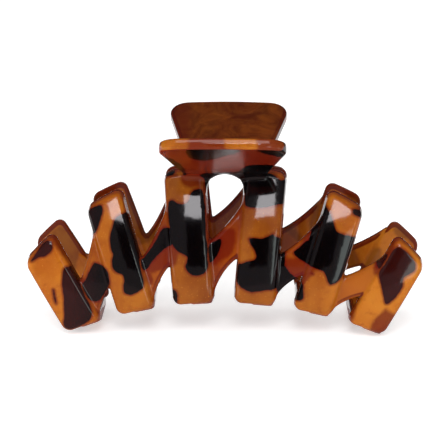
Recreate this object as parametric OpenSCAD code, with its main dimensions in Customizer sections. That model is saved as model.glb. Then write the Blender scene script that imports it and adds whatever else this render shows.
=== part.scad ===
// Claw clip for hair. Two sprung jaws meet on one steel hinge pin. Each jaw is one moulding: a fan of
// six bars, curved like a barrel, with slanting links between them, teeth under their feet, and a
// flared thumb tab on top. X runs along the clip, Y across it with the front jaw at -Y, and Z up.
// The clip is drawn closed, standing on the lower corners of its two outermost teeth.
// Lists of three go from the centre pair of bars outward, and lists of five from left to right.

/* [Fan of bars] */
// How far each bar leans away from upright, in degrees
bar_lean = [5, 17.3, 30.1]; // [4:0.1:31]
// Distance of each bar's foot from the middle of the clip
foot_x = [8.25, 23.9, 38.5]; // [8:0.05:39]
// Width of each bar
bar_w = [11.2, 10.5, 10.5]; // [9.5:0.1:11.5]
// Thickness of a bar
bar_t = 4.2; // [3.8:0.1:4.4]
// Corner radius of a bar, seen from the front
bar_corner = 1.8; // [0.8:0.1:2.2]
// Radius of the arc that the feet lie on
foot_r = 112; // [105:1:120]
// Height of the crown of that arc
foot_crown = 9.2; // [9:0.05:9.5]
// Radius of the arc that the heads lie on
head_r = 72; // [70:0.5:75]
// Height of the crown of that arc
head_crown = 45.1; // [44.5:0.1:45.5]

/* [Jaw curve] */
// Radius of a jaw's outer face, seen from the end
jaw_r = 82.6; // [80:0.2:86]
// Height at which the closed clip is deepest
jaw_mid_z = 4.7; // [4:0.1:5.5]
// Half the clip's depth there
jaw_half = 16.75; // [16.5:0.05:17]

/* [Links] */
// How far a link lies behind the faces of the bars
link_drop = 1.4; // [1:0.1:1.8]
// Thickness of a link
link_t = 2.6; // [2.2:0.1:2.7]
// Where a link's upper edge leaves the bar on its left, as a share of the bar's height
link_top_from = [0.44, 0.41, 0.46, 0.39, 0.37]; // [0.3:0.01:0.5]
// Where its upper edge meets the bar on its right
link_top_to = [0.79, 0.77, 0.77, 0.79, 0.81]; // [0.7:0.01:0.85]
// Where its lower edge meets the bar on its right
link_low_to = [0.28, 0.32, 0.35, 0.30, 0.32]; // [0.2:0.01:0.4]
// How much higher the back jaw's links sit than the front jaw's
back_link_lift = 1.8; // [0:0.1:2]

/* [Teeth] */
// How far a tooth's underside lies below the foot of its bar
tooth_drop = 1.2; // [1:0.1:1.6]
// Height of a tooth above the foot of its bar
tooth_rise = 1.4; // [1:0.1:1.8]
// How far a tooth reaches past the middle of the clip
tooth_reach = 11.6; // [10:0.1:11.8]
// Gap between a tooth and the opposite one beside it
tooth_gap = 0.7; // [0.6:0.05:0.9]

/* [Tab and hinge] */
// Height of the hinge axis
hinge_z = 46.4; // [46.3:0.1:46.8]
// Rise of a tab above level, in degrees
tab_rise = 24.9; // [24:0.1:26]
// Length of a tab from its neck
tab_l = 28.2; // [25:0.1:30]
// Width of a tab at its neck
tab_neck_w = 22.8; // [22:0.1:24]
// Width of a tab across its free corners, before they are rounded
tab_end_w = 36.8; // [34:0.2:38]
// Radius of a tab's free corners
tab_corner = 6.2; // [5:0.1:7]
// Thickness of a tab
tab_t = 3; // [2.6:0.1:3.2]
// Radius of the hole between the centre bars, above their link
hole_r = 5.3; // [5:0.05:5.4]
// Radius of the hinge pin
pin_r = 0.9; // [0.8:0.05:1]
// Outer radius of the hinge lugs
lug_r = 2.6; // [2.4:0.1:2.8]
// Wire diameter of the torsion spring
wire_d = 1; // [0.8:0.05:1.05]
// Whole turns of the spring
spring_turns = 6; // [5:1:6]

/* [Hidden] */
$fn = 96;
arc_steps = 5;
curve_steps = 10;
clip_l = 120;
bow_y = jaw_r - jaw_half;
depth = 40;

tab_base = [7.1, 44.7];
tab_crown_r = 150;
hole_top = 43.6;
overlap = 3;
running_gap = 0.05;
front_lugs = [5.2, 7.6];
back_lugs = [8, 10.9];
lug_room = 0.35;

spring_r = 1.75;
spring_pitch = wire_d + 0.1;
leg_rise = 20.8;
leg_l = 10;
wire_sides = 8;
rings_per_turn = 12;

// Bars are numbered 0 to 5 from left to right.
function side(i) = i < 3 ? -1 : 1;
function pair(i) = i < 3 ? 2 - i : i - 3;
function along(i) = [side(i) * sin(bar_lean[pair(i)]), cos(bar_lean[pair(i)])];
function across(i) = [cos(bar_lean[pair(i)]), -side(i) * sin(bar_lean[pair(i)])];
function arc_z(x, r, crown) = crown - r + sqrt(r * r - x * x);
function foot(i) = [side(i) * foot_x[pair(i)], arc_z(foot_x[pair(i)], foot_r, foot_crown)];
function foot_slope(i) = side(i) * asin(foot_x[pair(i)] / foot_r);

// Where the line from p along d leaves the circle of radius r whose top is at the crown.
function leaves(p, d, r, crown) =
    let (q = p - [0, crown - r], b = q * d)
    p + d * (sqrt(b * b - q * q + r * r) - b);
function edge(i, e) = foot(i) + e * bar_w[pair(i)] / 2 * across(i);
function foot_corner(i, e) = leaves(edge(i, e), along(i), foot_r, foot_crown);
function head_corner(i, e) = leaves(edge(i, e), along(i), head_r, head_crown);
function on_edge(i, e, share) = foot_corner(i, e) * (1 - share) + head_corner(i, e) * share;

// The points of an outline with each corner rounded by the radius given for it, or left sharp at 0.
function unit(v) = v / norm(v);
function turn(v, a) = [v.x * cos(a) - v.y * sin(a), v.x * sin(a) + v.y * cos(a)];
function rounded(p, r) = [
    for (i = [0 : len(p) - 1])
        let (
            back = unit(p[(i + len(p) - 1) % len(p)] - p[i]),
            on = unit(p[(i + 1) % len(p)] - p[i]),
            half = acos(back * on) / 2,
            centre = p[i] + unit(back + on) * r[i] / sin(half),
            start = p[i] + back * r[i] / tan(half) - centre,
            sweep = (back.x * on.y - back.y * on.x > 0 ? -1 : 1) * (180 - 2 * half)
        )
        for (k = [0 : r[i] > 0 ? arc_steps : 0]) centre + turn(start, sweep * k / arc_steps)
];
function curve(a, c, b) = [
    for (k = [0 : curve_steps])
        let (t = k / curve_steps)
        a * (1 - t) * (1 - t) + c * 2 * t * (1 - t) + b * t * t
];

// Draws a front view as a solid that runs from the middle plane towards the front.
module from_front() {
    rotate([90, 0, 0]) linear_extrude(depth) children();
}

// A layer of the front jaw's barrel curve, t thick, lying drop behind the outer face.
module barrel(drop, t) {
    translate([0, bow_y, jaw_mid_z]) rotate([0, 90, 0]) difference() {
        cylinder(h = clip_l, r = jaw_r - drop, center = true);
        cylinder(h = clip_l + 2, r = jaw_r - drop - t, center = true);
    }
}

module bar_outline(i) {
    polygon(rounded(
        [foot_corner(i, -1), foot_corner(i, 1), head_corner(i, 1), head_corner(i, -1)],
        [for (k = [0 : 3]) bar_corner]
    ));
}

// The link from bar i to the next on its right: a ribbon that climbs from low on one to high on the other.
// Its edges end a little inside the bars.
module link_outline(i) {
    inside = 0.92;
    a = on_edge(i, inside, link_top_from[i]);
    b = on_edge(i + 1, -inside, link_top_to[i]);
    d = on_edge(i, inside, 0.04);
    e = on_edge(i + 1, -inside, link_low_to[i]);
    sag = [a.x + (b.x - a.x) * 0.5, a.y + (b.y - a.y) * 0.29];
    arch = [d.x + (e.x - d.x) * 0.3, d.y + (e.y - d.y) * 0.7];
    polygon(concat(
        [a - [overlap, 0]], curve(a, sag, b), [b + [overlap, 0], e + [overlap, 0]],
        curve(e, arch, d), [d + [-overlap, overlap]]
    ));
}

// The plate over the hole, which joins the two centre bars.
module arch_outline() {
    translate([-8, hole_top - hole_r]) square([16, hole_r + 0.3]);
}

module tab_outline() {
    intersection() {
        polygon(rounded(
            [[-tab_neck_w, 0] / 2, [tab_neck_w, 0] / 2, [tab_end_w / 2, tab_l], [-tab_end_w / 2, tab_l]],
            [0, 0, tab_corner, tab_corner]
        ));
        translate([0, tab_l - tab_crown_r]) circle(tab_crown_r, $fn = 360);
    }
}

module tab() {
    translate([0, -tab_base.x, tab_base.y]) rotate([180 - tab_rise, 0, 0])
        linear_extrude(tab_t, center = true) tab_outline();
}

// Draws an outline of [distance in front of the middle plane, height] from one X to another.
module from_end(x0, x1) {
    translate([x0, 0, 0]) rotate([90, 0, 90]) linear_extrude(x1 - x0) mirror([1, 0]) children();
}

// Where the tab meets the heads of the two centre bars.
module neck() {
    flare = [cos(tab_rise), sin(tab_rise)];
    face = [sin(tab_rise), -cos(tab_rise)] * tab_t / 2;
    from_end(-tab_neck_w / 2, tab_neck_w / 2) polygon([
        tab_base + face + flare / 2, tab_base - face + flare / 2,
        tab_base - face - 3.5 * flare, [2.5, 43], [2.7, 41.9], [7.3, 41.9]
    ]);
}

module jaw_body(link_lift) {
    intersection() {
        barrel(0, bar_t);
        from_front() for (i = [0 : 5]) bar_outline(i);
    }
    intersection() {
        barrel(link_drop, link_t);
        from_front() translate([0, link_lift]) for (i = [0 : 4]) link_outline(i);
    }
    difference() {
        union() {
            intersection() {
                barrel(link_drop, link_t);
                from_front() arch_outline();
            }
            tab();
            neck();
        }
        translate([0, 0, hole_top - hole_r]) rotate([90, 0, 0]) cylinder(h = 2 * depth, r = hole_r, center = true);
    }
}

// The front tooth of bar i, on the right half of its foot. It narrows from root to tip, so that the
// opposite tooth, which is the same tooth turned half round, fits beside it.
module tooth(i) {
    half_w = bar_w[pair(i)] / 2;
    root = jaw_half - 2;
    split = [for (y = [-root, tooth_reach]) 0.07 * y + tooth_gap / 2];
    translate([foot(i).x, 0, foot(i).y]) rotate([0, foot_slope(i), 0]) intersection() {
        translate([0, 0, -tooth_drop - 1]) linear_extrude(tooth_drop + tooth_rise + 2) polygon(rounded(
            [[split[0], -root], [half_w - 0.6, -root], [half_w - 1.3, tooth_reach], [split[1], tooth_reach]],
            [0, 0, 1.1, 0.9]
        ));
        from_end(-bar_w[0], bar_w[0]) polygon([
            [root, tooth_rise], [root, -0.2], [root - 5, -tooth_drop], [-7.5, -tooth_drop],
            [-tooth_reach, -0.4], [-tooth_reach, 0.7], [-8, tooth_rise - 0.4], [root - 4, tooth_rise]
        ]);
    }
}

// A pair of lugs that hold the pin, mirrored about the middle of the clip, on the front jaw's side.
module lugs(span) {
    for (s = [0, 1]) mirror([s, 0, 0]) {
        translate([span[0], 0, hinge_z]) rotate([0, 90, 0]) cylinder(h = span[1] - span[0], r = lug_r);
        from_end(span[0], span[1]) translate([0, hinge_z]) polygon([
            [0, lug_r], [12.6, 2.3], [12.6, 1.2], [7.4, -1], [5, -2.6], [3.4, -3], [0, -lug_r]
        ]);
    }
}

// What the heads of the centre bars leave free for the other jaw's lugs.
module lug_clearance(span) {
    side_room = 0.2;
    for (s = [0, 1]) mirror([s, 0, 0]) translate([span[0] - side_room, 0, hinge_z]) rotate([0, 90, 0])
        cylinder(h = span[1] - span[0] + 2 * side_room, r = lug_r + lug_room);
}

module pin_bore(r) {
    translate([0, 0, hinge_z]) rotate([0, 90, 0]) cylinder(h = 2 * back_lugs[1] + 2, r = r, center = true);
}

module above_rest_plane() {
    intersection() {
        children();
        translate([-clip_l / 2, -depth, 0]) cube([clip_l, 2 * depth, 2 * depth]);
    }
}

module front_jaw() {
    color("peru") above_rest_plane() difference() {
        union() {
            jaw_body(0);
            for (i = [0 : 5]) tooth(i);
            lugs(front_lugs);
        }
        pin_bore(pin_r + running_gap);
        lug_clearance(back_lugs);
    }
}

module back_jaw() {
    color("sienna") above_rest_plane() difference() {
        union() {
            mirror([0, 1, 0]) jaw_body(back_link_lift);
            rotate([0, 0, 180]) for (i = [0 : 5]) tooth(i);
            mirror([0, 1, 0]) lugs(back_lugs);
        }
        pin_bore(pin_r);
        lug_clearance(front_lugs);
    }
}

module hinge_pin() {
    l = 2 * back_lugs[1];
    bevel = 0.25;
    color("silver") translate([0, 0, hinge_z]) rotate([0, 90, 0]) {
        cylinder(h = l - 2 * bevel, r = pin_r, center = true);
        for (s = [0, 1]) mirror([0, 0, s])
            translate([0, 0, l / 2 - bevel]) cylinder(h = bevel, r1 = pin_r, r2 = pin_r - bevel);
    }
}

// The spring's wire: a leg from the front tab, the coil, and a leg to the back tab. Each point is
// [x, y, height over the axis], and the legs leave the underside of the coil along its tangents.
spring_sweep = 360 * spring_turns + 2 * leg_rise;
spring_half = spring_pitch * spring_sweep / 720;
function coil_point(a) = [spring_half - spring_pitch * a / 360, -spring_r * sin(leg_rise - a), -spring_r * cos(leg_rise - a)];
function leg_tip(e) = coil_point(e < 0 ? 0 : spring_sweep) + leg_l * [0, e * cos(leg_rise), sin(leg_rise)];
spring_path = concat(
    [leg_tip(-1)],
    [for (k = [0 : spring_turns * rings_per_turn]) coil_point(spring_sweep * k / (spring_turns * rings_per_turn))],
    [leg_tip(1)]
);

// A round wire swept along a path that never runs along X.
function wire_ring(path, k) =
    let (
        t = unit(path[min(k + 1, len(path) - 1)] - path[max(k - 1, 0)]),
        u = unit(cross(t, [1, 0, 0])),
        v = cross(t, u)
    )
    [for (s = [0 : wire_sides - 1]) path[k] + wire_d / 2 * (cos(360 * s / wire_sides) * u + sin(360 * s / wire_sides) * v)];

module wire(path) {
    n = wire_sides;
    last = len(path) - 1;
    polyhedron(
        points = [for (k = [0 : last]) each wire_ring(path, k)],
        faces = concat(
            [[for (s = [0 : n - 1]) s]],
            [for (k = [0 : last - 1], s = [0 : n - 1])
                [k * n + s, (k + 1) * n + s, (k + 1) * n + (s + 1) % n, k * n + (s + 1) % n]],
            [[for (s = [n - 1 : -1 : 0]) last * n + s]]
        ),
        convexity = 10
    );
}

module torsion_spring() {
    color("gray") translate([0, 0, hinge_z]) wire(spring_path);
}

front_jaw();
back_jaw();
hinge_pin();
torsion_spring();
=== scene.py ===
"""Looks of the claw clip.

The two jaws are rebuilt as smooth moulded shells from a signed distance field that repeats the
dimensions of part.scad, in millimetres. Each jaw is described once, for the front jaw: x along the
clip, d the distance in front of the middle plane, z up. The back jaw is its mirror image in d.
"""

import math

import bpy
import numpy as np
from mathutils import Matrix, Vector


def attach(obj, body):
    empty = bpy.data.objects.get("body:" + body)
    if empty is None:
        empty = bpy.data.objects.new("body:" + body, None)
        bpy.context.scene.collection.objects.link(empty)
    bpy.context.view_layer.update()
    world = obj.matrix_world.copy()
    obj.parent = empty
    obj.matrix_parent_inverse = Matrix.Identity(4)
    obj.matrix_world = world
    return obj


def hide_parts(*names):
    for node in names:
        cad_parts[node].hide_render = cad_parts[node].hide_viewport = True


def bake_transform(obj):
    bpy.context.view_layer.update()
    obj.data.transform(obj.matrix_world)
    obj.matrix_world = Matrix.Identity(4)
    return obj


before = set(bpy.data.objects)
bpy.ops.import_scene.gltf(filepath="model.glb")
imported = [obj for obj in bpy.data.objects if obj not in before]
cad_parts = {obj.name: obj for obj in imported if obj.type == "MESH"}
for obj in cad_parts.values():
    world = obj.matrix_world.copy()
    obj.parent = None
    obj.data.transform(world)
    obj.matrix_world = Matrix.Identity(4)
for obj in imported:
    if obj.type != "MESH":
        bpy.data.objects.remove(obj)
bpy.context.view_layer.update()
MM = 0.001

# ---------------------------------------------------------------- dimensions, as in part.scad
BAR_LEAN = [math.radians(a) for a in (5, 17.3, 30.1)]
FOOT_X = [8.25, 23.9, 38.5]
BAR_W = [11.2, 10.5, 10.5]
BAR_T = 4.2
FOOT_R, FOOT_CROWN = 112, 9.2
HEAD_R, HEAD_CROWN = 72, 45.1
JAW_R, JAW_MID_Z, JAW_HALF = 82.6, 4.7, 16.75
BOW = JAW_R - JAW_HALF
LINK_DROP, LINK_T = 1.4, 2.6
LINK_TOP_FROM = [0.44, 0.41, 0.46, 0.39, 0.37]
LINK_TOP_TO = [0.79, 0.77, 0.77, 0.79, 0.81]
LINK_LOW_TO = [0.28, 0.32, 0.35, 0.30, 0.32]
BACK_LINK_LIFT = 1.8
TOOTH_DROP, TOOTH_RISE, TOOTH_REACH, TOOTH_GAP = 1.2, 1.4, 11.6, 0.7
HINGE_Z = 46.4
TAB_RISE = math.radians(24.9)
TAB_L, TAB_NECK_W, TAB_END_W, TAB_T = 28.2, 22.8, 36.8, 3.0
TAB_CORNER, TAB_CROWN_R = 6.2, 150
TAB_BASE = (7.1, 44.7)
HOLE_TOP, HOLE_R = 43.6, 5.3
PIN_R, LUG_R, WIRE_D, SPRING_TURNS = 0.9, 2.6, 1.0, 6
RUNNING_GAP = 0.05
FRONT_LUGS, BACK_LUGS = (5.2, 7.6), (8.0, 10.9)
LUG_ROOM = 0.35
SPRING_R, LEG_RISE, LEG_L = 1.75, math.radians(20.8), 10

# Finish of the moulding: slopes of the sides, and radii in millimetres.
DRAFT = 0.15
END_DRAFT = 0.16
SHOULDER = 1.15
CORNER = 2.2
FACE_CROWN_R = 50
BAR_BACK_R = 0.5
LINK_EDGE_R, LINK_BACK_R = 1.0, 0.8
FILLET_R, TOOTH_FILLET_R, LUG_FILLET_R = 0.7, 0.6, 0.5
TAB_EDGE_R, TAB_FILLET_R, ARCH_EDGE_R, HOLE_EDGE_R = 0.7, 0.8, 0.9, 0.7
ARCH_HALF_W = 8
TOOTH_CORNER_R, TOOTH_EDGE_R = 1.0, 0.55
TOOTH_INNER_TAPER, TOOTH_OUTER_TAPER, TOOTH_INSET = 0.07, 0.0266, 1.3
LUG_EDGE_R, BORE_EDGE_R, REST_EDGE_R = 0.45, 0.25, 0.15
LUG_SIDE_ROOM = 0.2

# The grid that the distance field is sampled on, and the distance that stands for far outside.
CELL = 0.375
FAR = 3.0
MARGIN = 1.6


# ---------------------------------------------------------------- fan geometry
def side(i):
    return -1 if i < 3 else 1


def pair(i):
    return 2 - i if i < 3 else i - 3


def arc_z(x, r, crown):
    return crown - r + math.sqrt(r * r - x * x)


def foot(i):
    x = FOOT_X[pair(i)]
    return np.array([side(i) * x, arc_z(x, FOOT_R, FOOT_CROWN)])


def directions(i):
    """Along and across bar i, in the front view."""
    a = side(i) * BAR_LEAN[pair(i)]
    return np.array([math.sin(a), math.cos(a)]), np.array([math.cos(a), -math.sin(a)])


def leaves(p, d, r, crown):
    q = p - np.array([0, crown - r])
    b = q @ d
    return p + d * (math.sqrt(b * b - q @ q + r * r) - b)


def on_bar(i, e, share):
    """A point of bar i in the front view: e runs from -1 to 1 across it, share from 0 at its foot to 1."""
    along, across = directions(i)
    p = foot(i) + e * BAR_W[pair(i)] / 2 * across
    low, high = leaves(p, along, FOOT_R, FOOT_CROWN), leaves(p, along, HEAD_R, HEAD_CROWN)
    return low * (1 - share) + high * share


def bezier(a, c, b, steps=22):
    t = np.linspace(0, 1, steps)[:, None]
    return a * (1 - t) ** 2 + c * 2 * t * (1 - t) + b * t * t


def rmax(a, b, r):
    """Intersection of two distances with a convex edge of radius r."""
    return np.minimum(np.maximum(a, b), -r) + np.hypot(np.maximum(a + r, 0), np.maximum(b + r, 0))


def rmin(a, b, r):
    """Union of two distances with a fillet of radius r."""
    return np.maximum(np.minimum(a, b), r) - np.hypot(np.maximum(r - a, 0), np.maximum(r - b, 0))


def polygon_distance(points, x, z):
    """Signed distance from a closed polygon, negative inside."""
    best = None
    inside = False
    for a, b in zip(points, np.roll(points, -1, axis=0)):
        e = b - a
        if e @ e < 1e-12:
            continue
        wx, wz = x - a[0], z - a[1]
        t = np.clip((wx * e[0] + wz * e[1]) / (e @ e), 0, 1)
        d2 = (wx - e[0] * t) ** 2 + (wz - e[1] * t) ** 2
        best = d2 if best is None else np.minimum(best, d2)
        if a[1] != b[1]:
            inside = inside ^ (((a[1] <= z) != (b[1] <= z)) & (wx < wz * (e[0] / e[1])))
    return np.where(inside, -1, 1) * np.sqrt(best)


def barrel_depth(d, z):
    """Distance outside the jaw's outer face, negative within the wall."""
    return np.hypot(d + BOW, z - JAW_MID_Z) - JAW_R


def front_at(z):
    return math.sqrt(JAW_R**2 - (z - JAW_MID_Z) ** 2) - BOW


# ---------------------------------------------------------------- the pieces of a jaw
# Each is (lowest corner, highest corner, distance function, how it joins what is there already).
def joined(r):
    return lambda field, new: rmin(field, new, r)


def barrel_box(points, drop, t):
    lo, hi = points.min(0), points.max(0)
    inner = front_at(hi[1]) - (drop + t) * 1.25
    return (lo[0], inner, lo[1]), (hi[0], JAW_HALF - drop, hi[1])


def bar_piece(i):
    along, across = directions(i)
    fx, fz = foot(i)
    half = BAR_W[pair(i)] / 2

    def distance(x, d, z):
        u = (x - fx) * across[0] + (z - fz) * across[1]
        depth = barrel_depth(d, z)
        taper = DRAFT * (np.clip(depth + BAR_T, 0, BAR_T) - BAR_T / 2)
        head = np.hypot(x, z - HEAD_CROWN + HEAD_R) - HEAD_R
        ends = np.maximum(head, FOOT_R - np.hypot(x, z - FOOT_CROWN + FOOT_R))
        outline = rmax(np.abs(u) - half, ends, CORNER) + taper
        g = rmax(outline, depth + u * u / (2 * FACE_CROWN_R), SHOULDER)
        return rmax(g, -(depth + BAR_T), BAR_BACK_R)

    corners = np.array([on_bar(i, e, s) for e in (-1, 1) for s in (0, 1)] + [foot(i)])
    return (*barrel_box(corners, 0, BAR_T), distance, np.minimum)


def link_polygon(i):
    a = on_bar(i, 0.92, LINK_TOP_FROM[i])
    b = on_bar(i + 1, -0.92, LINK_TOP_TO[i])
    d = on_bar(i, 0.92, 0.04)
    e = on_bar(i + 1, -0.92, LINK_LOW_TO[i])
    sag = a + (b - a) * np.array([0.5, 0.29])
    arch = d + (e - d) * np.array([0.3, 0.7])
    return np.vstack(
        [a - [3, 0], bezier(a, sag, b), b + [3, 0], e + [3, 0], bezier(e, arch, d), d + [-3, 3]]
    )


def link_piece(i, lift):
    points = link_polygon(i) + [0, lift]

    def distance(x, d, z):
        depth = barrel_depth(d, z)
        g = rmax(polygon_distance(points, x, z), depth + LINK_DROP, LINK_EDGE_R)
        return rmax(g, -(depth + LINK_DROP + LINK_T), LINK_BACK_R)

    return (*barrel_box(points, LINK_DROP, LINK_T), distance, joined(FILLET_R))


def tab_piece():
    cr, sr = math.cos(TAB_RISE), math.sin(TAB_RISE)
    flare = math.atan2((TAB_END_W - TAB_NECK_W) / 2, TAB_L)
    half_t = TAB_T / 2
    base = np.array(TAB_BASE)
    out, face = np.array([cr, sr]), np.array([sr, -cr]) * half_t
    neck = np.array([
        base + face + out / 2, base - face + out / 2, base - face - 3.5 * out,
        (2.5, 43), (2.7, 41.9), (7.3, 41.9),
    ])
    arch_mid, arch_half = HOLE_TOP - HOLE_R / 2 + 0.15, HOLE_R / 2 + 0.15

    def distance(x, d, z):
        s = (d - base[0]) * cr + (z - base[1]) * sr
        n = (z - base[1]) * cr - (d - base[0]) * sr
        sides = (np.abs(x) - TAB_NECK_W / 2) * math.cos(flare) - s * math.sin(flare)
        end = np.hypot(x, s - TAB_L + TAB_CROWN_R) - TAB_CROWN_R + END_DRAFT * np.abs(n)
        outline = np.maximum(rmax(sides, end, TAB_CORNER), -s - 1)
        plate = rmax(outline, np.abs(n) - half_t, TAB_EDGE_R)
        step = rmax(polygon_distance(neck, d, z), np.abs(x) - TAB_NECK_W / 2, TAB_FILLET_R)
        depth = barrel_depth(d, z)
        panel = np.maximum(np.abs(x) - ARCH_HALF_W, np.abs(z - arch_mid) - arch_half)
        arch = rmax(panel, depth + LINK_DROP, ARCH_EDGE_R)
        arch = rmax(arch, -(depth + LINK_DROP + LINK_T), FILLET_R)
        g = rmin(rmin(plate, step, TAB_FILLET_R), arch, TAB_FILLET_R)
        return rmax(g, HOLE_R - np.hypot(x, z - HOLE_TOP + HOLE_R), HOLE_EDGE_R)

    lo, hi = (-TAB_END_W / 2, 0, HOLE_TOP - HOLE_R - 1), (TAB_END_W / 2, 34, 60)
    return lo, hi, distance, joined(FILLET_R)


def tooth_piece(i, hand):
    """The tooth of bar i. hand is -1 for the back jaw, which has it mirrored in x, and 1 for the front."""
    half = BAR_W[pair(i)] / 2
    root = JAW_HALF - 2
    fx, fz = foot(i)
    slope = side(i) * math.asin(FOOT_X[pair(i)] / FOOT_R)
    cs, sn = math.cos(slope), math.sin(slope)
    profile = np.array([
        (root, TOOTH_RISE), (root, -0.2), (root - 5, -TOOTH_DROP), (-7.5, -TOOTH_DROP),
        (-TOOTH_REACH, -0.4), (-TOOTH_REACH, 0.7), (-8, TOOTH_RISE - 0.4), (root - 4, TOOTH_RISE),
    ])

    def distance(x, d, z):
        px = hand * x - fx
        u, v = px * cs - (z - fz) * sn, px * sn + (z - fz) * cs
        left = TOOTH_GAP / 2 - TOOTH_INNER_TAPER * d - u
        right = u - (half - TOOTH_INSET + TOOTH_OUTER_TAPER * (d + TOOTH_REACH))
        outline = rmax(np.maximum(left, right), -d - TOOTH_REACH, TOOTH_CORNER_R)
        return rmax(outline, polygon_distance(profile, d, v), TOOTH_EDGE_R)

    xs = sorted((hand * (fx - 0.8), hand * (fx + half + 0.2)))
    reach = abs(sn) * half + TOOTH_DROP + 0.4
    return (xs[0], -TOOTH_REACH, fz - reach), (xs[1], root, fz + reach), distance, joined(TOOTH_FILLET_R)


def lug_piece(span, s):
    mid, half = s * (span[0] + span[1]) / 2, (span[1] - span[0]) / 2
    reach, drop = 12.6, 3
    arm = [(0, LUG_R), (reach, 2.3), (reach, 1.2), (7.4, -1), (5, -2.6), (3.4, -drop), (0, -LUG_R)]
    arm = np.array(arm) + [0, HINGE_Z]

    def distance(x, d, z):
        ring = np.hypot(d, z - HINGE_Z) - LUG_R
        g = rmin(ring, polygon_distance(arm, d, z), 0.4)
        return rmax(g, np.abs(x - mid) - half, LUG_EDGE_R)

    lo, hi = (mid - half, -LUG_R, HINGE_Z - drop), (mid + half, reach, HINGE_Z + drop)
    return lo, hi, distance, joined(LUG_FILLET_R)


def cut(r):
    return lambda field, hollow: rmax(field, hollow, r)


def clearance_cut(span, s):
    """Room beside one of the other jaw's lugs."""
    mid, half = s * (span[0] + span[1]) / 2, (span[1] - span[0]) / 2 + LUG_SIDE_ROOM
    r = LUG_R + LUG_ROOM

    def distance(x, d, z):
        return -np.maximum(np.hypot(d, z - HINGE_Z) - r, np.abs(x - mid) - half)

    lo, hi = (mid - half, -r, HINGE_Z - r), (mid + half, r, HINGE_Z + r)
    return lo, hi, distance, cut(BORE_EDGE_R)


def bore_cut(span, r):
    def distance(x, d, z):
        return r - np.hypot(d, z - HINGE_Z) + 0 * x

    lo, hi = (-span[1], -r - 1, HINGE_Z - r - 1), (span[1], r + 1, HINGE_Z + r + 1)
    return lo, hi, distance, cut(BORE_EDGE_R)


def rest_cut():
    """The level where the clip stands."""
    def distance(x, d, z):
        return -z + 0 * x + 0 * d

    return (-60, -20, -3), (60, 20, 1.5), distance, cut(REST_EDGE_R)


def jaw_pieces(hand):
    pieces = [bar_piece(i) for i in range(6)]
    pieces += [link_piece(i, 0 if hand > 0 else BACK_LINK_LIFT) for i in range(5)]
    pieces += [tab_piece()]
    pieces += [tooth_piece(i, hand) for i in range(6)]
    span, r = (FRONT_LUGS, PIN_R + RUNNING_GAP) if hand > 0 else (BACK_LUGS, PIN_R)
    pieces += [clearance_cut(BACK_LUGS if hand > 0 else FRONT_LUGS, s) for s in (-1, 1)]
    pieces += [lug_piece(span, s) for s in (-1, 1)]
    pieces += [bore_cut(span, r), rest_cut()]
    return [
        (np.array(lo, float) - MARGIN, np.array(hi, float) + MARGIN, f, op) for lo, hi, f, op in pieces
    ]


# ---------------------------------------------------------------- from field to mesh
def distance_at(pieces, p):
    out = np.full(len(p), FAR)
    for lo, hi, f, op in pieces:
        m = np.all((p > lo) & (p < hi), axis=1)
        if m.any():
            q = p[m]
            out[m] = op(out[m], f(q[:, 0], q[:, 1], q[:, 2]))
    return out


def gradient_at(pieces, p, e=0.03):
    g = np.empty_like(p)
    for k in range(3):
        step = np.zeros(3)
        step[k] = e
        g[:, k] = distance_at(pieces, p + step) - distance_at(pieces, p - step)
    return g / (2 * e)


def grid_field(pieces, axes):
    field = np.full([len(a) for a in axes], FAR, np.float32)
    for lo, hi, f, op in pieces:
        ranges = [slice(*np.searchsorted(a, (l, h))) for a, l, h in zip(axes, lo, hi)]
        x, d, z = (a[r] for a, r in zip(axes, ranges))
        if min(len(x), len(d), len(z)) == 0:
            continue
        new = f(x[:, None, None], d[None, :, None], z[None, None, :])
        part = field[tuple(ranges)]
        field[tuple(ranges)] = op(part, new)
    return field


def surface_net(field, axes):
    """One vertex per cell that the surface passes through, and one quad per grid edge it crosses."""
    shape = np.array(field.shape)
    inside = field < 0
    cells, crossings, flips = [], [], []
    for axis in range(3):
        low = [slice(None)] * 3
        high = [slice(None)] * 3
        low[axis], high[axis] = slice(0, -1), slice(1, None)
        index = np.argwhere(inside[tuple(low)] != inside[tuple(high)])
        others = [k for k in range(3) if k != axis]
        fits = np.all((index[:, others] >= 1) & (index[:, others] <= shape[others] - 2), axis=1)
        index = index[fits]
        step = np.zeros(3, int)
        step[axis] = 1
        f0, f1 = field[tuple(index.T)], field[tuple((index + step).T)]
        point = index.astype(float)
        point[:, axis] += f0 / (f0 - f1)
        around = []
        for i, j in ((0, 0), (-1, 0), (-1, -1), (0, -1)):
            c = index.copy()
            c[:, others[0]] += i
            c[:, others[1]] += j
            around.append(np.ravel_multi_index(c.T, field.shape))
        cells.append(np.stack(around, axis=1))
        crossings.append(point)
        flips.append((f0 >= 0) ^ (axis == 1))
    cells, crossings, flips = np.vstack(cells), np.vstack(crossings), np.concatenate(flips)
    unique, quads = np.unique(cells, return_inverse=True)
    quads = quads.reshape(-1, 4)
    total = np.bincount(quads.ravel(), minlength=len(unique))
    vertices = np.empty((len(unique), 3))
    for k in range(3):
        mean = np.bincount(quads.ravel(), np.repeat(crossings[:, k], 4), len(unique)) / total
        vertices[:, k] = axes[k][0] + mean * (axes[k][1] - axes[k][0])
    quads[flips] = quads[flips][:, ::-1]
    return vertices, quads


def settle(pieces, v, limit):
    """Moves points onto the surface along its gradient, by no more than the limit."""
    g = gradient_at(pieces, v)
    size = np.maximum((g * g).sum(1), 0.3)
    step = -g * (distance_at(pieces, v) / size)[:, None]
    length = np.linalg.norm(step, axis=1, keepdims=True)
    return v + step * np.minimum(1, limit / np.maximum(length, 1e-9)), g


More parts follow.
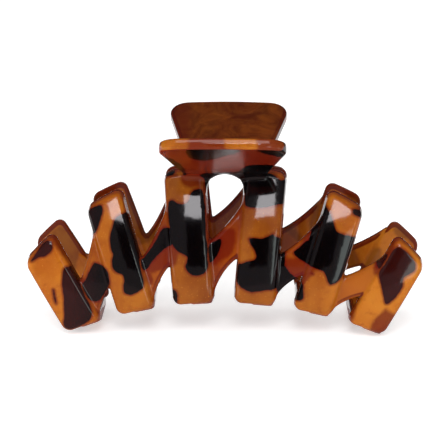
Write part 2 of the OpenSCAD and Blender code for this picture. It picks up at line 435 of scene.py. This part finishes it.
def relax(v, quads, g):
    """Evens out the mesh along the surface."""
    total = np.zeros_like(v)
    count = np.zeros(len(v))
    for a, b in ((0, 1), (1, 2), (2, 3), (3, 0)):
        for p, q in ((a, b), (b, a)):
            for k in range(3):
                total[:, k] += np.bincount(quads[:, p], v[quads[:, q], k], len(v))
            count += np.bincount(quads[:, p], minlength=len(v))
    move = total / count[:, None] - v
    n = g / np.maximum(np.linalg.norm(g, axis=1, keepdims=True), 1e-9)
    return v + 0.5 * (move - n * (move * n).sum(1, keepdims=True))


def jaw_mesh(hand):
    pieces = jaw_pieces(hand)
    axes = [
        np.arange(-56, 56, CELL),
        np.arange(-13.5, 36, CELL),
        np.arange(-1.5, 61, CELL),
    ]
    v, quads = surface_net(grid_field(pieces, axes), axes)
    v, g = settle(pieces, v, CELL / 2)
    for _ in range(2):
        v, g = settle(pieces, relax(v, quads, g), CELL / 2)
    v, g = settle(pieces, v, CELL / 4)
    normals = g / np.maximum(np.linalg.norm(g, axis=1, keepdims=True), 1e-9)
    return pieces, v, quads, normals


# ---------------------------------------------------------------- tortoiseshell patches
# Each patch is an outline on one bar: pairs of (across, along), from -1 to 1 across the bar and from 0 at
# its foot to 1 at its head. Values past those ends carry the patch onto the bar's sides and the links.
DARK = [
    (0, [(-.65, .955), (-.15, .98), (.3, .995), (.6, .99), (.82, .95), (.75, .9), (.5, .87), (.15, .875),
         (-.15, .915), (-.45, .93)]),
    (0, [(-.38, .54), (-.28, .53), (-.42, .45), (-.55, .37), (-.63, .375), (-.52, .46)]),
    (0, [(.63, .66), (.3, .57), (-.08, .41), (-.35, .3), (-.5, .22), (-.85, .13), (-.85, .05), (-.45, .025),
         (0, .03), (.5, .05), (.78, .1), (.9, .2), (.95, .35), (1.1, .5), (1.1, .62), (.85, .66)]),
    (0, [(.95, .42), (1.27, .44), (1.7, .5), (2.18, .57), (2.5, .5), (2.6, .43), (2.4, .34), (2.15, .29),
         (1.85, .25), (1.5, .2), (1.2, .2), (.95, .25)]),
    (1, [(-1.2, .95), (-.8, .985), (-.4, .975), (-.12, .965), (-.15, .91), (-.35, .86), (-.6, .81),
         (-.8, .775), (-1.2, .76)]),
    (1, [(.8, .82), (.4, .815), (.15, .775), (-.15, .7), (-.28, .635), (-.3, .57), (-.25, .535),
         (-.42, .5), (-.52, .435), (-.4, .38), (-.1, .35), (-.08, .3), (-.28, .235), (-.3, .19),
         (-.05, .163), (.3, .172), (.7, .19), (.82, .235), (.85, .3), (.92, .4), (1.05, .5), (1.3, .6),
         (1.3, .82)]),
    (1, [(.95, .42), (1.25, .43), (1.9, .52), (2.5, .62), (3.0, .62), (3.0, .5), (2.45, .465), (1.9, .42),
         (1.45, .37), (1.2, .33), (.95, .33)]),
    (2, [(-.85, .81), (-.6, .805), (-.4, .775), (-.05, .765), (.15, .785), (.22, .81), (.3, .84), (.5, .86),
         (.82, .86), (.92, .8), (.9, .6), (.9, .4), (.88, .28), (.62, .24), (.3, .222), (0, .235),
         (-.22, .27), (-.27, .305), (-.17, .34), (-.12, .37), (-.33, .395), (-.58, .425), (-.8, .475),
         (-.86, .54), (-.87, .6), (-.92, .68), (-.9, .75)]),
    (2, [(-1.3, 1.06), (-.5, 1.06), (-.42, 1.0), (-.6, .985), (-.9, .985), (-1.3, .97)]),
    (2, [(.97, .8), (.97, .97), (1.2, 1.02), (2, 1.03), (2.8, 1.02), (3.1, .97), (3.1, .8), (2, .87)]),
    (2, [(-1.3, .125), (-.85, .13), (-.72, .11), (-.75, .06), (-.8, .0), (-1.3, -.05)]),
    (2, [(.9, .44), (1.3, .47), (1.6, .49), (1.55, .43), (1.35, .36), (1.1, .315), (.9, .31)]),
    (3, [(-.95, .985), (-.95, .93), (-.95, .74), (-.6, .722), (-.2, .728), (.2, .742), (.6, .775), (1.3, .81),
         (1.3, .93), (1.2, .97), (.6, .965), (.5, .985), (0, .985), (-.6, .985)]),
    (3, [(-1.0, .3), (-.7, .322), (-.4, .337), (-.15, .35), (-.1, .38), (-.22, .42), (-.42, .45),
         (-.5, .475), (-.6, .505), (-.25, .515), (.08, .513), (.33, .533), (.6, .562), (.68, .54),
         (.9, .538), (1.3, .52), (1.3, .16), (.9, .14), (.5, .125), (.05, .105), (-.35, .105),
         (-.75, .128), (-1.0, .165)]),
    (3, [(.95, .36), (1.15, .345), (1.4, .32), (1.6, .285), (1.95, .25), (2.3, .22), (2.3, .17), (1.6, .1),
         (.95, .1)]),
    (4, [(-.9, .6), (-1.35, .58), (-1.65, .5), (-1.9, .45), (-1.5, .415), (-1.2, .4), (-.9, .4)]),
    (4, [(-1.3, .9), (-.93, .885), (-.5, .835), (-.28, .775), (-.15, .745), (.05, .728), (.4, .735),
         (.75, .752), (1.3, .76), (1.3, .62), (1.0, .6), (.92, .56), (.95, .5), (.95, .43), (.87, .36),
         (.65, .31), (.42, .285), (.22, .315), (.08, .355), (-.1, .382), (-.4, .38), (-.8, .39),
         (-1.3, .4)]),
    (4, [(.35, .96), (.6, .985), (1.2, 1.0), (1.2, .945), (.8, .925), (.5, .92)]),
    (4, [(-1.3, .23), (-.95, .225), (-.75, .17), (-.64, .125), (-.7, .095), (-1, .08), (-1.3, .07)]),
    (4, [(-.75, .34), (-.6, .345), (-.5, .335), (-.6, .325)]),
    (5, [(-.72, .94), (-.3, .952), (.1, .952), (.48, .937), (.68, .885), (.63, .835), (.45, .775),
         (.3, .725), (.33, .68), (.48, .64), (.52, .575), (.5, .49), (.38, .42), (.28, .37), (.18, .36),
         (.05, .39), (-.1, .425), (-.4, .49), (-.65, .54), (-.92, .59), (-.93, .66), (-.86, .77),
         (-.86, .87)]),
    (5, [(-.9, .8), (-1.1, .79), (-1.35, .72), (-1.3, .66), (-1.1, .63), (-.9, .63)]),
]
# Reddish stains, where the dark colour lies deeper in the plastic.
STAIN = [
    (5, [(.27, .33), (.5, .32), (1.3, .34), (1.3, -.1), (.3, -.1), (.12, .12), (.13, .225)]),
    (5, [(-1.3, .22), (-.97, .2), (-.8, .12), (-.72, .05), (-.8, -.05), (-1.3, -.05)]),
    (5, [(-.85, 1.05), (-.85, .6), (-1.0, .55), (-1.4, .62), (-1.5, .8), (-1.3, 1.05)]),
    (0, [(.7, 1.05), (.8, .9), (1.0, .6), (1.05, .2), (1.3, .2), (1.4, .6), (1.4, 1.05)]),
    (1, [(.9, 1.05), (.95, .6), (1.0, .2), (1.4, .2), (1.4, 1.05)]),
    (2, [(.95, 1.05), (.95, .3), (1.4, .3), (1.4, 1.05)]),
    (2, [(-.1, .985), (-.2, .93), (.05, .875), (.95, .86), (.95, .985)]),
    (3, [(.95, .37), (2.0, .42), (2.9, .5), (3.0, .4), (2.3, .2), (1.6, .08), (.95, .08)]),
    (4, [(-1.05, .9), (-1.0, .38), (-1.6, .38), (-1.6, .9)]),
    (2, [(1.0, .5), (2.4, .6), (2.3, .4), (1.3, .28), (1.0, .3)]),
    (1, [(1.0, .45), (2.6, .65), (3.0, .6), (3.0, .35), (2.2, .3), (1.0, .28)]),
]
# The same on the tab: pairs of (x, distance from the neck), in millimetres.
TAB_DARK = [
    [(-9.2, 28.6), (-9.6, 22), (-8.4, 17), (-5.5, 15), (-2.5, 17), (0.8, 20.5), (4.2, 24.2), (5, 26.4),
     (2.5, 28.6)],
    [(8.5, 28.6), (9, 25.6), (12.5, 21.8), (17, 17.5), (20, 16), (20, 28.6)],
    [(-17, 20), (-13.8, 18), (-11.6, 12), (-10.6, 6), (-10.4, -4), (-15, -4), (-18, 8)],
    [(5.4, 10), (8, 11.5), (12.5, 11.5), (16, 10), (14, -4), (-9, -5), (-7.5, 1.4), (0, 3), (4.2, 4)],
]
# Painted shade on the underside of the tab, a darker red standing in for the shade under it and the red bar
# heads reflected in it; stains on its end face and on its upper side.
TAB_UNDER_PAINTED_SHADE = [[(-16, 35), (-16.2, 24), (-14, 10), (-12, -8), (12, -8), (14, 10), (19, 24), (19, 35)]]
TAB_END_STAIN = [[(-9, 31), (-9, 24), (0.6, 24), (0.6, 31)], [(9, 31), (9, 24), (20, 24), (20, 31)]]
TAB_TOP_STAIN = [
    [(21, 31), (12, 31), (11, 20), (11.6, 8), (8, -2), (21, -2)],
    [(-15.5, 29), (-16.5, 22), (-12.5, -2), (-21, -2), (-21, 29)],
]
# How far from a patch its distance is still told.
PATCH_REACH = 6.0


def rounded_outline(points, share=0.22):
    """Corners cut twice, for a flowing outline."""
    p = np.array(points, float)
    for _ in range(2):
        q = np.roll(p, -1, axis=0)
        p = np.stack([p * (1 - share) + q * share, p * share + q * (1 - share)], axis=1).reshape(-1, 2)
    return p


def bar_patches(patches, x, z):
    best = np.full(len(x), PATCH_REACH)
    for bar, points in patches:
        outline = rounded_outline([on_bar(bar, e, share) for e, share in points])
        lo, hi = outline.min(0) - PATCH_REACH, outline.max(0) + PATCH_REACH
        m = (x > lo[0]) & (x < hi[0]) & (z > lo[1]) & (z < hi[1])
        best[m] = np.minimum(best[m], polygon_distance(outline, x[m], z[m]))
    return best


def tab_patches(patches, x, s):
    best = np.full(len(x), PATCH_REACH)
    for points in patches:
        best = np.minimum(best, polygon_distance(rounded_outline(points), x, s))
    return best


def smoothstep(a, b, t):
    t = np.clip((t - a) / (b - a), 0, 1)
    return t * t * (3 - 2 * t)


def jaw_attributes(pieces, v, normals, hand):
    """What the plastic's colour depends on, at every point of a jaw."""
    x, d, z = v.T
    px = x if hand > 0 else -x
    base = np.array(TAB_BASE)
    s = (d - base[0]) * math.cos(TAB_RISE) + (z - base[1]) * math.sin(TAB_RISE)
    n = (z - base[1]) * math.cos(TAB_RISE) - (d - base[0]) * math.sin(TAB_RISE)
    depth = -barrel_depth(d, z)
    on_tab = smoothstep(-1.5, 1.0, s) * smoothstep(41.5, 43.5, z)
    upper = smoothstep(-0.6, 0.9, n) * on_tab
    reach = s + x * x / (2 * TAB_CROWN_R) + np.clip(np.abs(x) - 12, 0, 6) ** 2 / 12
    end = smoothstep(TAB_L - 1.3, TAB_L - 0.5, reach) * on_tab
    stain_and_shade_fields = {
        "bar": bar_patches(STAIN, px, z), "under": tab_patches(TAB_UNDER_PAINTED_SHADE, px, s),
        "end": tab_patches(TAB_END_STAIN, px, s), "top": tab_patches(TAB_TOP_STAIN, px, s),
    }
    stain_and_under_shade = stain_and_shade_fields["under"] * (1 - upper) + stain_and_shade_fields["top"] * upper
    stain_and_under_shade = stain_and_under_shade * (1 - end) + stain_and_shade_fields["end"] * end
    return {
        # distance from the dark patches, and from the stains and the painted shade under the tab
        "dark": bar_patches(DARK, px, z) * (1 - on_tab) + (tab_patches(TAB_DARK, px, s) + 5 * end) * on_tab,
        "stain_and_under_shade": stain_and_shade_fields["bar"] * (1 - on_tab) + stain_and_under_shade * on_tab,
        # how far a point lies behind the face of its bar, where a darker red is painted as shade in the
        # recesses
        "painted_recess_shade": smoothstep(0.2, 1.7, depth) * (1 - 0.5 * smoothstep(2.6, 3.8, depth)) * (1 - on_tab),
        # the outer edges, painted darker as shade along them
        "edge": np.clip(1 + distance_at(pieces, v - 1.3 * normals) / 1.3, 0, 1) * (1 - 0.8 * end),
        # surfaces that face the other jaw, where the patches only shimmer through
        "veil": smoothstep(2.0, 3.5, depth) * (1 - on_tab) + upper * (1 - end),
        # the upper side of the tab: smoky streaks in a darker brown, partly its own colour and partly painted
        # shade
        "smoke": upper * (1 - end),
        # its underside, painted a darker red as shade and as a painted reflection of the red bar heads
        "belly": on_tab * (1 - upper) * (1 - end),
        # painted light: the outer bars lighter than the centre ones
        "painted_outer_light": smoothstep(4, 50, np.abs(x)) * (1 - on_tab) + 0.55 * on_tab,
    }


def new_object(name, vertices, faces, normals=None, attributes=None, material=None):
    mesh = bpy.data.meshes.new(name)
    faces = np.asarray(faces)
    mesh.vertices.add(len(vertices))
    mesh.vertices.foreach_set("co", np.asarray(vertices, np.float32).ravel())
    mesh.loops.add(faces.size)
    mesh.loops.foreach_set("vertex_index", faces.ravel().astype(np.int32))
    mesh.polygons.add(len(faces))
    mesh.polygons.foreach_set("loop_start", np.arange(0, faces.size, faces.shape[1], dtype=np.int32))
    mesh.update(calc_edges=True)
    mesh.validate()
    mesh.polygons.foreach_set("use_smooth", np.ones(len(mesh.polygons), bool))
    for key, values in (attributes or {}).items():
        attribute = mesh.attributes.new(key, "FLOAT", "POINT")
        attribute.data.foreach_set("value", values.astype(np.float32))
    if normals is not None:
        mesh.normals_split_custom_set_from_vertices(normals.tolist())
    obj = bpy.data.objects.new(name, mesh)
    bpy.context.scene.collection.objects.link(obj)
    if material:
        obj.data.materials.append(material)
    return obj


# ---------------------------------------------------------------- materials
class Nodes:
    """Short names for building a node tree."""

    def __init__(self, name):
        self.material = bpy.data.materials.new(name)
        self.material.use_nodes = True
        self.tree = self.material.node_tree
        self.bsdf = self.tree.nodes["Principled BSDF"]

    def link(self, value, socket):
        if isinstance(value, bpy.types.NodeSocket):
            self.tree.links.new(value, socket)
        else:
            socket.default_value = value

    def attribute(self, name):
        n = self.tree.nodes.new("ShaderNodeAttribute")
        n.attribute_name = name
        return n.outputs["Fac"]

    def noise(self, scale, detail=2.0, roughness=0.5, distortion=0.0, stretch=(1, 1, 1)):
        if not hasattr(self, "coordinates"):
            self.coordinates = self.tree.nodes.new("ShaderNodeTexCoord").outputs["Object"]
        where = self.coordinates
        if stretch != (1, 1, 1):
            m = self.tree.nodes.new("ShaderNodeMapping")
            m.inputs["Scale"].default_value = stretch
            self.link(where, m.inputs["Vector"])
            where = m.outputs["Vector"]
        n = self.tree.nodes.new("ShaderNodeTexNoise")
        self.link(where, n.inputs["Vector"])
        n.inputs["Scale"].default_value = scale
        n.inputs["Detail"].default_value = detail
        n.inputs["Roughness"].default_value = roughness
        n.inputs["Distortion"].default_value = distortion
        return n.outputs["Fac"]

    def math(self, operation, a, b=0.0, c=0.0):
        n = self.tree.nodes.new("ShaderNodeMath")
        n.operation = operation
        for value, socket in zip((a, b, c), n.inputs):
            self.link(value, socket)
        return n.outputs[0]

    def ramp(self, value, low, high, out_low=0.0, out_high=1.0):
        n = self.tree.nodes.new("ShaderNodeMapRange")
        n.interpolation_type = "SMOOTHSTEP"
        keys = ("Value", "From Min", "From Max", "To Min", "To Max")
        for v, key in zip((value, low, high, out_low, out_high), keys):
            self.link(v, n.inputs[key])
        return n.outputs["Result"]

    def mix(self, share, a, b):
        n = self.tree.nodes.new("ShaderNodeMix")
        n.data_type = "RGBA"
        self.link(share, n.inputs[0])
        self.link(a, n.inputs[6])
        self.link(b, n.inputs[7])
        return n.outputs[2]

    def bump(self, height, strength, distance):
        n = self.tree.nodes.new("ShaderNodeBump")
        n.inputs["Strength"].default_value = strength
        n.inputs["Distance"].default_value = distance
        self.link(height, n.inputs["Height"])
        self.link(n.outputs["Normal"], self.bsdf.inputs["Normal"])


def srgb(*colour):
    """A colour given as 0 to 255 for each channel, in the linear values that sockets take."""
    return tuple(((c / 255 + 0.055) / 1.055) ** 2.4 if c > 10 else c / 255 / 12.92 for c in colour) + (1.0,)


def tortoiseshell(name):
    n = Nodes(name)
    wander = n.math("SUBTRACT", n.noise(230, 2.0, 0.5), 0.5)
    ripple = n.math("SUBTRACT", n.noise(1100, 1.0), 0.5)
    shift = n.math("MULTIPLY_ADD", wander, 0.9, n.math("MULTIPLY", ripple, 0.14))
    dark = n.math("ADD", n.attribute("dark"), shift)
    stain_and_under_shade = n.math("ADD", n.attribute("stain_and_under_shade"), n.math("MULTIPLY", shift, 2.0))
    inside = n.ramp(dark, 0.1, -0.2)
    halo = n.ramp(dark, 0.8, 0.0)
    cloud = n.noise(75, 3.0, 0.55, 0.6, (1.0, 1.0, 0.6))
    # Painted light: the centre bars get a darker amber and the outer bars a lighter one.
    painted_outer_light = n.attribute("painted_outer_light")
    centre = n.mix(n.ramp(cloud, 0.3, 0.7), srgb(118, 56, 12), srgb(146, 80, 19))
    ends = n.mix(n.ramp(cloud, 0.3, 0.7), srgb(160, 82, 16), srgb(188, 114, 30))
    amber = n.mix(painted_outer_light, centre, ends)
    speck = n.ramp(n.noise(2300, 1.0), 0.66, 0.74)
    amber = n.mix(n.math("MULTIPLY", speck, 0.42), amber, srgb(196, 128, 44))
    mottle = n.ramp(n.noise(480, 3.0, 0.6, 0.5), 0.48, 0.78)
    amber = n.mix(n.math("MULTIPLY", mottle, 0.4), amber, srgb(122, 54, 12))
    # Painted shade: a darker red where the surface lies back from the bar faces, lighter on the outer bars by
    # the painted light.
    recess_shade_colour = n.mix(n.ramp(cloud, 0.35, 0.7), srgb(106, 30, 6), srgb(146, 66, 16))
    recess_shade_colour = n.mix(n.math("MULTIPLY", painted_outer_light, 0.5), recess_shade_colour, ends)
    body = n.mix(n.attribute("painted_recess_shade"), amber, recess_shade_colour)
    # Painted shade: the outer edges darkened to a deep red.
    edge = n.attribute("edge")
    body = n.mix(n.math("MULTIPLY", n.ramp(edge, 0.02, 0.34), 0.9), body, srgb(88, 17, 5))
    # Painted shade and a painted reflection: the underside of the tab is darkened to a deep red.
    belly = n.attribute("belly")
    body = n.mix(n.math("MULTIPLY", belly, 0.7), body, srgb(138, 24, 4))
    red = n.mix(n.math("MULTIPLY", halo, 0.75), body, srgb(96, 18, 8))
    # Stains deepen the red, and under the tab the painted shade does.
    red = n.mix(n.math("MULTIPLY", n.ramp(stain_and_under_shade, 0.6, -0.9), 0.8), red, srgb(98, 18, 8))
    # The dark patches: near black on the centre bars, redder on the outer bars under the painted light.
    tip = n.mix(n.ramp(painted_outer_light, 0.68, 1.0), srgb(6, 3, 4), srgb(44, 11, 9))
    outer = n.mix(inside, red, tip)
    blotch = n.mix(n.math("MULTIPLY", n.ramp(dark, 0.5, -0.8), 0.5), body, srgb(72, 38, 16))
    colour = n.mix(n.attribute("veil"), outer, blotch)
    # The upper side of the tab: smoky streaks in a darker brown, partly its own colour and partly painted
    # shade.
    streaks = n.noise(150, 4.0, 0.66, 1.6, (1.0, 0.8, 0.8))
    smoke = n.mix(n.ramp(streaks, 0.3, 0.75), srgb(64, 16, 4), srgb(104, 46, 11))
    smoke = n.mix(n.math("MULTIPLY", n.ramp(stain_and_under_shade, 2.0, -0.9), 0.8), smoke, srgb(72, 10, 5))
    # Painted shade along the edges of the tab's upper side.
    smoke = n.mix(edge, smoke, srgb(56, 12, 5))
    colour = n.mix(n.math("MULTIPLY", n.attribute("smoke"), 0.9), colour, smoke)
    n.link(colour, n.bsdf.inputs["Base Color"])
    satin = n.ramp(n.noise(2600, 2.0), 0.3, 0.8, 0.05, 0.1)
    n.link(n.math("MULTIPLY_ADD", belly, 0.12, satin), n.bsdf.inputs["Roughness"])
    n.bsdf.inputs["IOR"].default_value = 1.5
    n.bsdf.inputs["Subsurface Weight"].default_value = 0.35
    n.bsdf.inputs["Subsurface Radius"].default_value = (1.0, 0.32, 0.1)
    n.bsdf.inputs["Subsurface Scale"].default_value = 0.0012
    n.bump(n.noise(160, 2.0, 0.5), 0.12, 0.0004)
    return n.material


def steel(name, tone, rough_low, rough_high, grain):
    n = Nodes(name)
    smut = n.noise(300, 3.0, 0.6)
    lines = n.noise(900, 2.0, 0.5, 0.0, grain)
    dull = tuple(c * 0.72 for c in tone[:3]) + (1.0,)
    n.link(n.mix(n.ramp(smut, 0.35, 0.75), tone, dull), n.bsdf.inputs["Base Color"])
    n.bsdf.inputs["Metallic"].default_value = 1.0
    n.link(n.ramp(lines, 0.25, 0.75, rough_low, rough_high), n.bsdf.inputs["Roughness"])
    n.bump(lines, 0.25, 0.00006)
    return n.material


# ---------------------------------------------------------------- build the jaws
shell = tortoiseshell("tortoiseshell_plastic")


def build_jaw(name, hand, body, node):
    pieces, v, quads, normals = jaw_mesh(hand)
    attributes = jaw_attributes(pieces, v, normals, hand)
    flip = np.array([1, -1 if hand > 0 else 1, 1])
    if hand > 0:
        quads = quads[:, ::-1]
    obj = new_object(name, v * flip * MM, quads, normals * flip, attributes, shell)
    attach(obj, body)
    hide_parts(node)


build_jaw("front_shell", 1, "front", "front_jaw")
build_jaw("back_shell", -1, "back", "back_jaw")


# ---------------------------------------------------------------- pin and spring
def tube_faces(rows, n):
    """The faces between rows of rings with n points each."""
    return [
        (k * n + s, k * n + (s + 1) % n, (k + 1) * n + (s + 1) % n, (k + 1) * n + s)
        for k in range(rows - 1) for s in range(n)
    ]


def lathe(profile, segments):
    """Revolves (x, r) pairs about the hinge axis."""
    angles = np.linspace(0, 2 * math.pi, segments, endpoint=False)
    rings = [[(x, r * math.sin(a), r * math.cos(a)) for a in angles] for x, r in profile]
    return np.array(rings).reshape(-1, 3), np.array(tube_faces(len(profile), segments))


def hinge_pin():
    end = BACK_LUGS[1]
    bevel = 0.3
    turn = np.linspace(0, math.pi / 2, 7)
    rim = [(end - bevel + bevel * math.sin(t), PIN_R - bevel + bevel * math.cos(t)) for t in turn]
    shaft = [(x, PIN_R) for x in np.linspace(0.5, end - bevel, 12)[:-1]]
    half = shaft + rim + [(end, 0.3), (end + 0.02, 0.001)]
    profile = [(-x, r) for x, r in reversed(half)] + half
    v, faces = lathe(profile, 40)
    v[:, 2] += HINGE_Z
    finish = steel("pin_steel", srgb(196, 194, 190), 0.16, 0.3, (1, 12, 12))
    return new_object("hinge_pin_steel", v * MM, faces, material=finish)


def spring_line():
    """The wire's centre line: a leg, six turns and the other leg."""
    pitch = WIRE_D + 0.1
    sweep = 2 * math.pi * SPRING_TURNS + 2 * LEG_RISE
    half = pitch * sweep / (4 * math.pi)

    def coil(a):
        x, t = half - pitch * a / (2 * math.pi), LEG_RISE - a
        return np.array([x, -SPRING_R * math.sin(t), -SPRING_R * math.cos(t)])

    steps = SPRING_TURNS * 40
    turns = [coil(sweep * k / steps) for k in range(steps + 1)]

    def leg(end, e):
        way = np.array([0, e * math.cos(LEG_RISE), math.sin(LEG_RISE)])
        return [end + way * t for t in np.linspace(0, LEG_L, 14)[1:]]

    return np.array(leg(turns[0], -1)[::-1] + turns + leg(turns[-1], 1))


def torsion_spring():
    line = spring_line()
    tangents = np.gradient(line, axis=0)
    tangents /= np.linalg.norm(tangents, axis=1, keepdims=True)
    u = np.cross(tangents, [1, 0, 0])
    u /= np.linalg.norm(u, axis=1, keepdims=True)
    w = np.cross(tangents, u)
    n = 16
    angles = np.linspace(0, 2 * math.pi, n, endpoint=False)
    r = WIRE_D / 2
    # The ends of the wire are rounded: (distance from the end, radius there).
    lead = [(0.0, r * 0.55), (0.06, r * 0.85), (0.16, r)]
    rings, sizes = [], []
    for back, size in lead:
        rings.append(line[0] + tangents[0] * back)
        sizes.append(size)
    rings += list(line[1:-1])
    sizes += [r] * (len(line) - 2)
    for back, size in reversed(lead):
        rings.append(line[-1] - tangents[-1] * back)
        sizes.append(size)
    frames = [0, 0, 0] + list(range(1, len(line) - 1)) + [-1, -1, -1]
    v = np.array([
        rings[k] + sizes[k] * (math.cos(a) * u[frames[k]] + math.sin(a) * w[frames[k]])
        for k in range(len(rings)) for a in angles
    ])
    v = np.vstack([v, v[:n].mean(0), v[-n:].mean(0)])
    first, last, end = len(v) - 2, len(v) - 1, (len(rings) - 1) * n
    caps = [(first, (s + 1) % n, s) for s in range(n)]
    caps += [(last, end + s, end + (s + 1) % n) for s in range(n)]
    v[:, 2] += HINGE_Z
    mesh = bpy.data.meshes.new("torsion_spring_wire")
    mesh.from_pydata((v * MM).tolist(), [], tube_faces(len(rings), n) + caps)
    mesh.validate()
    mesh.polygons.foreach_set("use_smooth", np.ones(len(mesh.polygons), bool))
    obj = bpy.data.objects.new("torsion_spring_wire", mesh)
    bpy.context.scene.collection.objects.link(obj)
    mesh.materials.append(steel("spring_wire", srgb(186, 184, 182), 0.2, 0.36, (1, 1, 1)))
    return obj


pin = hinge_pin()
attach(pin, "back")
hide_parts("hinge_pin")
spring = torsion_spring()
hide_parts("torsion_spring")
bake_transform(spring)


# ---------------------------------------------------------------- floor, light and camera
STUDIO_R = 900
FLOOR_HALF = 3000


def plane(name, corners, material):
    v = [Vector(c) * MM for c in corners]
    mesh = bpy.data.meshes.new(name)
    mesh.from_pydata(v, [], [tuple(range(len(v)))])
    obj = bpy.data.objects.new(name, mesh)
    bpy.context.scene.collection.objects.link(obj)
    mesh.materials.append(material)
    return obj


def emitter(name, colour, strength):
    material = bpy.data.materials.new(name)
    material.use_nodes = True
    tree = material.node_tree
    tree.nodes.clear()
    emission = tree.nodes.new("ShaderNodeEmission")
    emission.inputs["Color"].default_value = colour
    emission.inputs["Strength"].default_value = strength
    output = tree.nodes.new("ShaderNodeOutputMaterial")
    tree.links.new(emission.outputs[0], output.inputs["Surface"])
    return material


def seen_only_in_gloss(obj):
    obj.visible_camera = False
    obj.visible_diffuse = False
    obj.visible_shadow = False
    obj.visible_transmission = False
    obj.visible_volume_scatter = False


def card(name, az, el, distance, material, centre=(0, 0, 28)):
    """A sheet that covers the given azimuths and elevations as seen from the clip, facing it."""
    corners = []
    for a, e in ((az[0], el[0]), (az[1], el[0]), (az[1], el[1]), (az[0], el[1])):
        a, e = math.radians(a), math.radians(e)
        corners.append(Vector(centre) + distance * Vector((math.sin(a), -math.cos(a), math.tan(e))))
    seen_only_in_gloss(plane(name, corners, material))


floor_material = Nodes("floor_paper")
floor_material.link(
    floor_material.mix(floor_material.noise(40, 2.0), (0.86, 0.86, 0.86, 1), (0.88, 0.88, 0.88, 1)),
    floor_material.bsdf.inputs["Base Color"],
)
floor_material.bsdf.inputs["Roughness"].default_value = 0.9
floor_material.bsdf.inputs["Specular IOR Level"].default_value = 0.2
floor_material.bsdf.inputs["Emission Color"].default_value = (1, 1, 1, 1)
floor_material.bsdf.inputs["Emission Strength"].default_value = 0.5
floor_corners = [(x * FLOOR_HALF, y * FLOOR_HALF, -0.05) for x, y in ((-1, -1), (1, -1), (1, 1), (-1, 1))]
plane("floor", floor_corners, floor_material.material)

card("softbox_mirror", (-5.5, 9), (27, 47), STUDIO_R, emitter("softbox_face", (1, 0.97, 1, 1), 8.0))
card("top_panel", (-28, 28), (52, 66), STUDIO_R, emitter("top_face", (1, 0.96, 0.96, 1), 3.0))
card("side_panel", (9, 26), (-16, 20), STUDIO_R, emitter("panel_face", (0.9, 1, 0.97, 1), 2.4))
card("black_card", (-5.5, 6.5), (6, 26.5), STUDIO_R / 2, emitter("black_face", (0, 0, 0, 1), 0.0))
# The floor under and in front of the clip looks dimmer in the gloss than it is.
dim_corners = [(-150, 25, 0.02), (150, 25, 0.02), (1500, -3000, 0.02), (-1500, -3000, 0.02)]
seen_only_in_gloss(plane("dim_floor_card", dim_corners, emitter("dim_face", (1, 0.78, 0.8, 1), 0.38)))
# A pale glow behind the hole, for the underside of the front tab.
glow_corners = [(-3.4, -3, 32), (5.6, -3, 32), (5.6, -3, 37), (-3.4, -3, 37)]
seen_only_in_gloss(plane("hole_glow", glow_corners, emitter("hole_glow_face", (1, 0.74, 0.7, 1), 0.5)))

world = bpy.data.worlds.new("studio")
bpy.context.scene.world = world
world.use_nodes = True
tree = world.node_tree
tree.nodes.clear()
path = tree.nodes.new("ShaderNodeLightPath")
where = tree.nodes.new("ShaderNodeTexCoord")
split = tree.nodes.new("ShaderNodeSeparateXYZ")
tree.links.new(where.outputs["Generated"], split.inputs[0])


def surroundings(back, front, colour=(1, 1, 1, 1)):
    """White light that grows from the back of the studio to the front."""
    share = tree.nodes.new("ShaderNodeMapRange")
    share.interpolation_type = "SMOOTHSTEP"
    tree.links.new(split.outputs["Y"], share.inputs["Value"])
    for key, value in (("From Min", 0.4), ("From Max", -0.8), ("To Min", back), ("To Max", front)):
        share.inputs[key].default_value = value
    background = tree.nodes.new("ShaderNodeBackground")
    tree.links.new(share.outputs["Result"], background.inputs["Strength"])
    background.inputs["Color"].default_value = colour
    return background.outputs[0]


def choose(condition, if_false, if_true):
    mix = tree.nodes.new("ShaderNodeMixShader")
    tree.links.new(path.outputs[condition], mix.inputs[0])
    tree.links.new(if_false, mix.inputs[1])
    tree.links.new(if_true, mix.inputs[2])
    return mix.outputs[0]


lit = choose("Is Glossy Ray", surroundings(0.5, 0.85), surroundings(0.05, 0.22, (1, 0.9, 0.94, 1)))
output = tree.nodes.new("ShaderNodeOutputWorld")
tree.links.new(choose("Is Camera Ray", lit, surroundings(1.0, 1.0)), output.inputs["Surface"])


def area_light(name, azimuth, elevation, distance, size, power, aim=(0, 0, 25)):
    data = bpy.data.lights.new(name, "AREA")
    data.shape = "RECTANGLE"
    data.size, data.size_y = (s * MM for s in size)
    data.energy = power
    obj = bpy.data.objects.new(name, data)
    bpy.context.scene.collection.objects.link(obj)
    a, e = math.radians(azimuth), math.radians(elevation)
    out = Vector((math.sin(a) * math.cos(e), -math.cos(a) * math.cos(e), math.sin(e)))
    obj.location = (Vector(aim) + out * distance) * MM
    obj.rotation_euler = out.to_track_quat("Z", "Y").to_euler()
    obj.visible_glossy = False


area_light("key", 3, 36, STUDIO_R, (260, 380), 3.2)
area_light("fill", -55, 30, 1100, (700, 700), 2.5)

CAM_AZ, CAM_EL, CAM_D = math.radians(1.76), math.radians(13.03), 567
camera_data = bpy.data.cameras.new("camera")
camera_data.sensor_width = 36
camera_data.lens = 163
camera_data.clip_start = 0.01
camera = bpy.data.objects.new("camera", camera_data)
bpy.context.scene.collection.objects.link(camera)
out = Vector((math.sin(CAM_AZ) * math.cos(CAM_EL), -math.cos(CAM_AZ) * math.cos(CAM_EL), math.sin(CAM_EL)))
camera.location = (Vector((0, 0, 19.2)) + out * CAM_D) * MM
aim = Vector((-0.5, 0, 28)) * MM
camera.rotation_euler = (camera.location - aim).to_track_quat("Z", "Y").to_euler()
bpy.context.scene.camera = camera
bpy.context.scene.view_settings.view_transform = "Standard"
